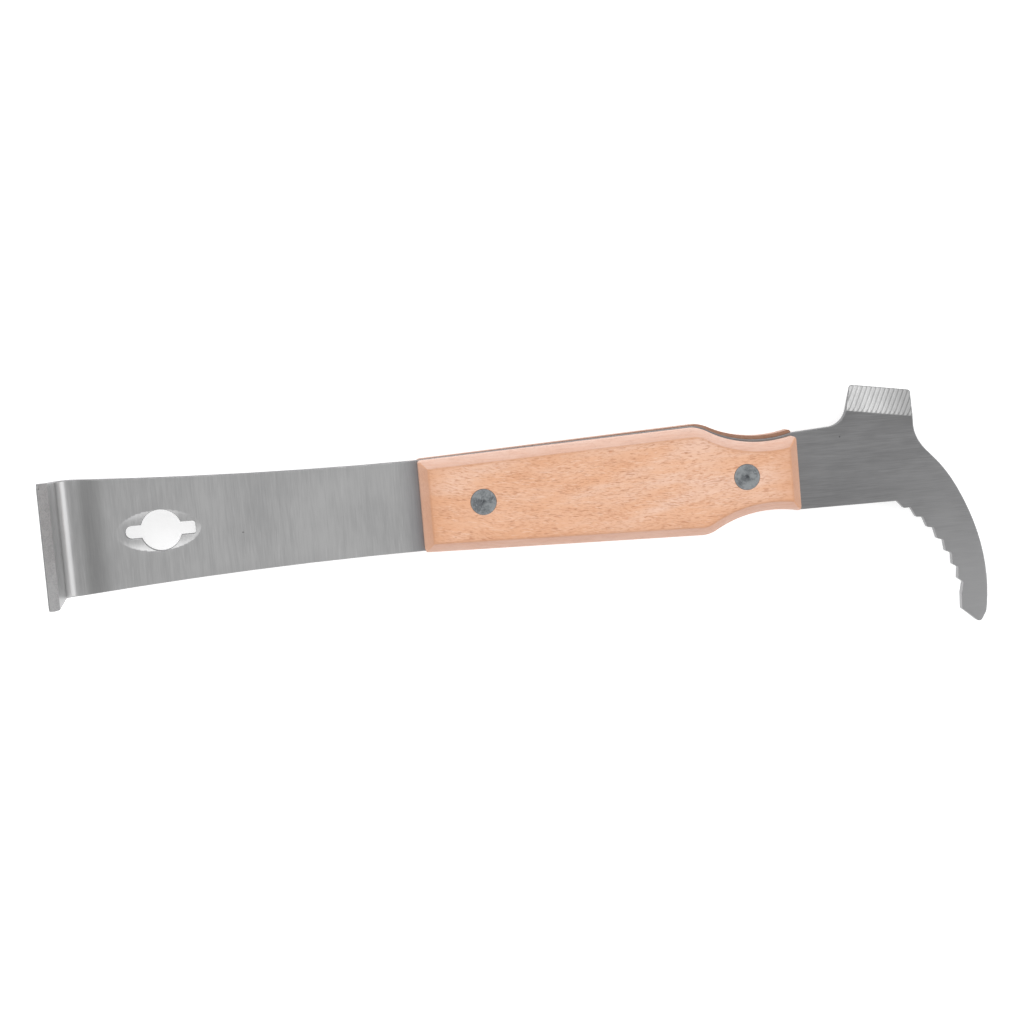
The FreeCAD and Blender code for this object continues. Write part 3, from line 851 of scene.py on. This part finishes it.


# %% [markdown]
# ## Ground steel
# The two halves of the blade were finished on a belt in different directions: the scraper half across the
# tool, the hook half along it. So the same finish is written once with the belt's direction as a value.
# Grinding lines are noise stretched about twentyfold along the belt. Fine lines, coarse lines and a few
# deep scratches lie on each other, with small pits and the dull, darker clouds that handling leaves. A
# few places also have painted light and shade by where they lie: painted shade beside the bend, beside
# the wood and across the hammer tab, and a painted highlight on the hook. The hook half's darker greys
# are painted shade as well.
# %% Steel finish


def ground_steel(name, along, dark, light, rough, line_depth=0.006, seed=0.0):
    """Belt-ground steel; along is the axis the belt ran, dark and light its two greys."""
    steel = Finish(name, Metallic=1.0, Specular_IOR_Level=0.5)
    fine = [1000.0 * 2.8] * 3
    coarse = [1000.0 * 0.5] * 3
    scratch = [1000.0 * 1.5] * 3
    fine[along], coarse[along], scratch[along] = 130.0, 30.0, 90.0
    lines = steel.noise(steel.place(tuple(fine), shift=(seed, seed, seed)), 1.0, 3.0, 0.6)
    bands = steel.noise(steel.place(tuple(coarse), shift=(seed + 7, 0.0, 0.0)), 1.0, 3.0, 0.55)
    marks = steel.noise(steel.place(tuple(scratch), 0.05, (seed, 3.0, 0.0)), 1.0, 1.0, 0.5)
    clouds = steel.noise(steel.place(shift=(seed, 0.0, 0.0)), 0.03, 4.0, 0.55)
    pits = steel.add("ShaderNodeTexVoronoi", {"feature": "F1"}, {"Vector": steel.place(), "Scale": 0.11})
    pit = 1.0 - steel.step(pits, 0.018, 0.05)
    deep = steel.step(marks, 0.66, 0.74)
    tone = 0.34 * lines + 0.22 * bands + 0.44 * clouds
    grey = steel.mix(steel.step(tone, 0.36, 0.64), dark, light)
    grey = steel.mix(deep * 0.2, grey, tuple(min(1.0, c * 1.3) for c in light))
    grey = steel.mix(pit * 0.7, grey, tuple(c * 0.35 for c in dark))
    x, y, _ = steel.parts(steel.place())
    # Painted shade: the steel beside the wood's scraper-side end is darkened.
    wood_painted_shade = steel.step(x, LEFT - 7.5, LEFT + 1.0) * (1.0 - steel.step(x, 0.0, 1.0))
    grey = steel.mix(wood_painted_shade * 0.5, grey, (0.15, 0.145, 0.165))
    # Painted shade: a dark band on the flat beside the bend, standing in for the upright's reflection.
    bend_painted_shade = steel.step(x, BEND_X + 1.0, BEND_X + 4.0) * (1.0 - steel.step(x, BEND_X + 5.5, BEND_X + 11.5))
    grey = steel.mix(bend_painted_shade * 0.55, grey, (0.2, 0.2, 0.2))
    # Painted highlight: the hook is lightened, more so towards its far edge.
    hook_painted_light = steel.step(y, -8.0, -40.0) * steel.step(x, 80.0, 100.0)
    grey = steel.mix(hook_painted_light * 0.75, grey, tuple(c * 1.42 for c in light))
    # Painted shade: the tab's ribbed bevel is darkened towards the hook end.
    crest_painted_shade = steel.step(x, 82.0, 99.0) * steel.step(y, 8.0, 13.0)
    grey = steel.mix(crest_painted_shade * 0.7, grey, (0.17, 0.17, 0.17))
    steel.set("Base Color", grey)
    steel.set("Roughness", rough + 0.12 * (lines - 0.5) + 0.14 * (clouds - 0.5) + pit * 0.2)
    relief = steel.bump(0.6 * lines + 0.4 * bands + deep * -0.35, line_depth)
    steel.set("Normal", steel.bump(1.0 - pit, 0.05, 0.6, relief))
    return steel.material


# Painted shade: the hook half's greys are darker than the scraper half's, standing in for how steel ground
# along the tool reflects the lamps.
steel_finishes = [
    ground_steel("steel_ground_across", 1, (0.385, 0.385, 0.387), (0.475, 0.475, 0.475), 0.34, seed=2.0),
    ground_steel("steel_ground_along", 0, (0.20, 0.20, 0.203), (0.265, 0.265, 0.268), 0.36, seed=5.0),
    ground_steel("steel_fresh_ground", 1, (0.33, 0.33, 0.33), (0.46, 0.46, 0.46), 0.34, seed=9.0),
    ground_steel("steel_cut_edge", 2, (0.16, 0.16, 0.165), (0.26, 0.26, 0.265), 0.42, seed=4.0),
    ground_steel("steel_scraper_bevel", 0, (0.225, 0.225, 0.228), (0.335, 0.335, 0.338), 0.4, seed=6.0)]

# %% [markdown]
# The finishes are given out by place. The scraper half and the hook half each get their own. The ribbed
# bevel on the hammer tab is freshly ground and brighter, and the bevel inside the scraper's edge has a
# finish of its own. The sides, where the outline was cut, are duller and darker. They were made by the
# rim, so they have four corners, where the filled faces have three.
# %% Giving the finishes out


def give_steel(piece):
    """Material index of each face: 0 across, 1 along, 2 fresh ground, 3 cut edge, 4 scraper bevel."""
    polygons = piece.data.polygons
    centres, normals = read_out(polygons, "center", 3) / MM, read_out(polygons, "normal", 3)
    index = np.where(centres[:, 0] > 0.0, 1, 0)
    inward, _ = tab_place(centres[:, 0], centres[:, 1])
    on_tab = (inward < TAB_BEVEL) & (centres[:, 0] > TAB_FROM_X) & (centres[:, 1] > TAB_FROM_Y)
    below_face = centres[:, 2] < STEEL_FACE - 0.01
    index[on_tab & below_face & (normals[:, 2] > 0.3)] = 2
    sides = read_out(polygons, "loop_total", kind=np.int32)
    index[(sides == 4) & (np.abs(normals[:, 2]) < 0.9)] = 3
    upright = (centres[:, 0] < BEND_X) & (sides == 4)
    index[upright & (np.abs(normals[:, 1]) < 0.3)] = 0
    index[(centres[:, 2] > SCRAPER_TOP - EDGE_BEVEL_H) & (normals[:, 2] > 0.3)] = 4
    for material in steel_finishes:
        piece.data.materials.append(material)
    polygons.foreach_set("material_index", index.astype(np.int32))
    piece.data.update()
    print(piece.name, "faces by finish", np.bincount(index))


give_steel(blade)

# %% [markdown]
# ## Beech
# Beech is a plain, pinkish wood, told by its short dark flecks, a millimetre or two long, and by soft
# bands where the growth rings come to the surface. The grain runs along the handle but slopes a few
# degrees, so the distance across the grain is bent before any pattern reads it. Sanded edges and sawn
# ends are paler or darker than the face, and the darker line at the bevel comes from the stored number.
# Shade is painted into the colour where the wood meets the steel, on the back scale's long sides, and on
# the long sides that face away from the tab-side lamp.
# %% Beech finish


def beech(name, seed):
    """Sanded beech whose grain falls away from the scraper end and levels out towards the hook end."""
    wood = Finish(name, Specular_IOR_Level=0.3)
    here = wood.place()
    along, across, up = wood.parts(here)
    point = wood.place(shift=(seed * 31.0, seed * 17.0, 0.0))
    sweep = along * 0.07 - along * along * 0.00093
    drift = wood.noise(point, 0.03, 2.0, 0.5) * 5.0 + wood.noise(point, 0.12, 1.0, 0.5) * 1.2
    grain_y = across + sweep + drift + seed * 13.0

    def stretched(x_scale, y_scale):
        values = {"X": along * x_scale + seed, "Y": grain_y * y_scale, "Z": up * y_scale}
        return wood.add("ShaderNodeCombineXYZ", {}, values)

    slant = {"X": along * 0.014 + seed * 3.0, "Y": (across - along * 0.3) * 0.1, "Z": up * 0.08}
    bands = wood.noise(wood.add("ShaderNodeCombineXYZ", {}, slant), 1.0, 2.0, 0.5, 0.4)
    rings = wood.noise(stretched(0.014, 0.22), 1.0, 3.0, 0.55)
    fibre = wood.noise(stretched(0.25, 3.4), 1.0, 3.0, 0.62)
    pores = wood.noise(stretched(0.62, 4.2), 1.0, 2.0, 0.5)
    crowd = wood.noise(stretched(0.06, 0.2), 1.0, 2.0, 0.5)
    flecks = wood.step(pores + 0.2 * (crowd - 0.5), 0.535, 0.64)
    large_pores = wood.noise(stretched(0.42, 2.6), 1.0, 1.0, 0.4)
    dark_flecks = wood.step(large_pores + 0.1 * (crowd - 0.5), 0.63, 0.72)
    light_flecks = wood.step(wood.noise(stretched(0.4, 2.4), 1.0, 1.0, 0.4), 0.58, 0.72)
    stops = [(0.0, (0.70, 0.375, 0.225)), (0.4, (0.735, 0.43, 0.285)), (0.65, (0.75, 0.475, 0.345)),
             (1.0, (0.77, 0.52, 0.41))]
    tone = 0.6 * bands + 0.4 * rings
    body = wood.add("ShaderNodeValToRGB", {"stops": stops}, {"Fac": wood.step(tone, 0.32, 0.68)})
    body = wood.mix(0.3 * wood.step(fibre, 0.35, 0.65, 1.0, 0.0), body, (0.66, 0.37, 0.22))
    body = wood.mix(light_flecks * 0.3, body, (0.85, 0.62, 0.49))
    body = wood.mix(flecks * 0.5, body, (0.545, 0.235, 0.125))
    body = wood.mix(dark_flecks * 0.5, body, (0.40, 0.155, 0.075))
    redder = wood.step(along, LEFT + 10.0, LEFT + 2.0) + wood.step(along, RIGHT - 14.0, RIGHT - 3.0)
    body = wood.mix(redder * 0.5, body, (0.62, 0.31, 0.17))
    wear = wood.add("ShaderNodeAttribute", {"attribute_name": "wear"}, output=2)
    facing = wood.parts(wood.add("ShaderNodeTexCoord", output=1))
    long_side = wood.step(facing[1] * facing[1], 0.12, 0.45)
    end_grain = wood.step(facing[0] * facing[0], 0.12, 0.45)
    body = wood.mix(long_side * 0.7, body, (0.70, 0.465, 0.385))
    body = wood.mix(end_grain * 0.6, body, (0.56, 0.335, 0.25))
    streaks = wood.step(wood.noise(stretched(0.03, 1.6), 1.0, 2.0, 0.5), 0.35, 0.65)
    body = wood.mix(long_side * streaks * 0.3, body, (0.80, 0.62, 0.54))
    # Painted shade: the long sides that face away from the tab-side lamp are darkened.
    lower_side_shade = wood.step(facing[1], -0.2, -0.6)
    body = wood.mix(lower_side_shade * 0.35, body, (0.48, 0.28, 0.21))
    # A darker, smoother line along the bevel's upper edge, from the stored number.
    body = wood.mix(wear * 0.5, body, (0.48, 0.225, 0.12))
    # Painted shade: the wood is darkened where it meets the steel.
    steel_gap_shade = wood.step(up, STEEL_FACE + 0.9, STEEL_FACE) * wood.step(up, STEEL_BACK - 0.9, STEEL_BACK)
    body = wood.mix(steel_gap_shade * 0.65, body, (0.27, 0.14, 0.10))
    # Painted shade: the back scale's long sides are darkened, as shade under the steel and the front scale.
    shaded_back_scale = wood.step(up, STEEL_BACK + 0.5, STEEL_BACK)
    body = wood.mix(shaded_back_scale * long_side * 0.55, body, (0.33, 0.175, 0.115))
    wood.set("Base Color", body)
    wood.set("Roughness", 0.56 - 0.08 * fibre + 0.14 * flecks - 0.1 * wear)
    wood.set("Normal", wood.bump(0.5 * fibre - 0.7 * flecks - 0.6 * dark_flecks, 0.05))
    return wood.material


for piece, seed in ((front_scale, 1.0), (back_scale, 2.3)):
    piece.data.materials.clear()
    piece.data.materials.append(beech(piece.name + "_beech", seed))

# %% [markdown]
# ## Rivet metal
# The heads were faced on a lathe, so faint rings run round each centre, with a few random scratches from
# use. Rings need the distance to the rivet's own centre, so each rivet's finish is centred on its own
# place.
# %% Rivet finish


def turned_metal(name, centre_x, seed):
    """Faced metal: rings about the centre, scratches, a painted highlight on the rim and painted shade in
    the centre mark.
    """
    metal = Finish(name, Metallic=1.0)
    point = metal.place(shift=(-centre_x, 0.0, 0.0))
    x, y, _ = metal.parts(point)
    radius = (x * x + y * y)**0.5
    wobble = metal.noise(point, 0.6, 2.0, 0.5)
    ring_at = metal.add("ShaderNodeCombineXYZ", {}, {"X": radius * 3.4 + wobble * 0.8, "Y": seed})
    rings = metal.noise(ring_at, 1.0, 2.0, 0.6)
    blotch = metal.noise(metal.place(shift=(seed * 9.0, 0.0, 0.0)), 0.45, 3.0, 0.65)
    scratch = metal.noise(metal.place((700.0, 2600.0, 1000.0), 0.9 + seed, (seed, 0.0, 0.0)), 1.0, 1.0, 0.4)
    scratch = metal.step(scratch, 0.64, 0.7)
    rim = metal.step(radius, HEAD_R - 0.75, HEAD_R - 0.25)
    centre_mark_shade = 1.0 - metal.step(radius, 0.35, 1.15)
    shade_amount = 0.9 * metal.step(blotch, 0.36, 0.66) + 0.3 * (rings - 0.3)
    grey = metal.mix(shade_amount, (0.36, 0.38, 0.39), (0.16, 0.17, 0.18))
    # Painted highlight: the rim is lightened all round.
    grey = metal.mix(rim * 0.4, grey, (0.36, 0.38, 0.40))
    # Painted shade in the centre mark: its middle is darkened nearly to black.
    grey = metal.mix(centre_mark_shade * 0.8, grey, (0.055, 0.06, 0.065))
    grey = metal.mix(scratch * 0.45, grey, (0.45, 0.48, 0.50))
    metal.set("Base Color", grey)
    metal.set("Roughness", 0.36 + 0.18 * (blotch - 0.5) + 0.1 * (rings - 0.5))
    metal.set("Normal", metal.bump(rings * 0.5 - scratch * 0.6 + blotch * 0.5, 0.02))
    return metal.material


for piece in rivet_pieces:
    x = RIVET_X[0] if piece.name.startswith("scraper") else RIVET_X[1]
    piece.data.materials.append(turned_metal(piece.name + "_metal", x, 1.0 + 1.7 * (x > 0)))

# %% [markdown]
# ## Bench and light
# The tool lies on its back scale on a plain white bench that glows a little, so that it stays white. Big
# soft lamps on all four sides keep shadows faint, and the even surroundings give the steel something pale
# to reflect.
# %% Bench and light


def white_bench():
    """A wide flat sheet, a hair under the tool so that the two never share a plane."""
    half, z = 8000.0, -0.05
    points = np.array([[-half, -half, z], [half, -half, z], [half, half, z], [-half, half, z]])
    bench = new_piece("bench", points, [[0, 1, 2, 3]])
    paint = Finish("bench_white", Specular_IOR_Level=0.2, Roughness=0.8)
    paint.set("Base Color", (0.85, 0.85, 0.85))
    paint.set("Emission Color", (1.0, 1.0, 1.0))
    paint.set("Emission Strength", 0.45)
    bench.data.materials.append(paint.material)


white_bench()


def soft_lamp(name, place_mm, size_mm, watts):
    """A wide lamp that faces the middle of the tool."""
    lamp = bpy.data.lights.new(name, "AREA")
    lamp.shape, lamp.size, lamp.size_y = "RECTANGLE", size_mm[0] * MM, size_mm[1] * MM
    lamp.energy = watts
    holder = bpy.data.objects.new(name, lamp)
    holder.location = Vector(place_mm) * MM
    holder.rotation_euler = (-Vector(place_mm)).to_track_quat("-Z", "Y").to_euler()
    bpy.context.scene.collection.objects.link(holder)


soft_lamp("tab_side_lamp", (-150, 1000, 1000), (1600, 900), 6.5)
soft_lamp("hook_side_lamp", (1100, -100, 700), (700, 1200), 3.6)
soft_lamp("scraper_side_lamp", (-1100, 150, 800), (700, 1200), 3.0)
soft_lamp("front_lamp", (100, -1100, 800), (1400, 700), 3.0)

world = bpy.data.worlds.new("studio")
world.use_nodes = True
world.node_tree.nodes["Background"].inputs["Color"].default_value = (1.0, 1.0, 1.0, 1.0)
world.node_tree.nodes["Background"].inputs["Strength"].default_value = 0.75
bpy.context.scene.world = world
bpy.context.scene.view_settings.view_transform = "Standard"

# %% [markdown]
# The camera stands almost straight above the tool, a little towards the scraper and the tab, and is
# rolled a few degrees, which lifts the hook end.
# %% Camera


def overhead_camera(aim_mm, distance_mm, lens, tilt, yaw, roll):
    """A camera that looks down at the aim point; angles are in degrees."""
    away = Vector((-math.sin(math.radians(yaw)), math.sin(math.radians(tilt)), 0.0))
    away.z = math.sqrt(1.0 - away.length_squared)
    up = Vector((math.sin(math.radians(roll)), math.cos(math.radians(roll)), 0.0))
    right = (-away).cross(up).normalized()
    true_up = right.cross(-away).normalized()
    view = bpy.data.cameras.new("bench_camera")
    view.lens, view.sensor_width = lens, 36.0
    view.clip_start, view.clip_end = 0.05, 20.0
    camera = bpy.data.objects.new("bench_camera", view)
    place = Matrix.Translation((Vector(aim_mm) + away * distance_mm) * MM)
    camera.matrix_world = place @ Matrix((right, true_up, away)).transposed().to_4x4()
    bpy.context.scene.collection.objects.link(camera)
    bpy.context.scene.camera = camera
    print("camera at", [round(v, 3) for v in camera.matrix_world.translation])


overhead_camera(aim_mm=(-32.0, -4.8, 9.5), distance_mm=700.0, lens=78.75, tilt=5.3, yaw=4.5, roll=5.0)
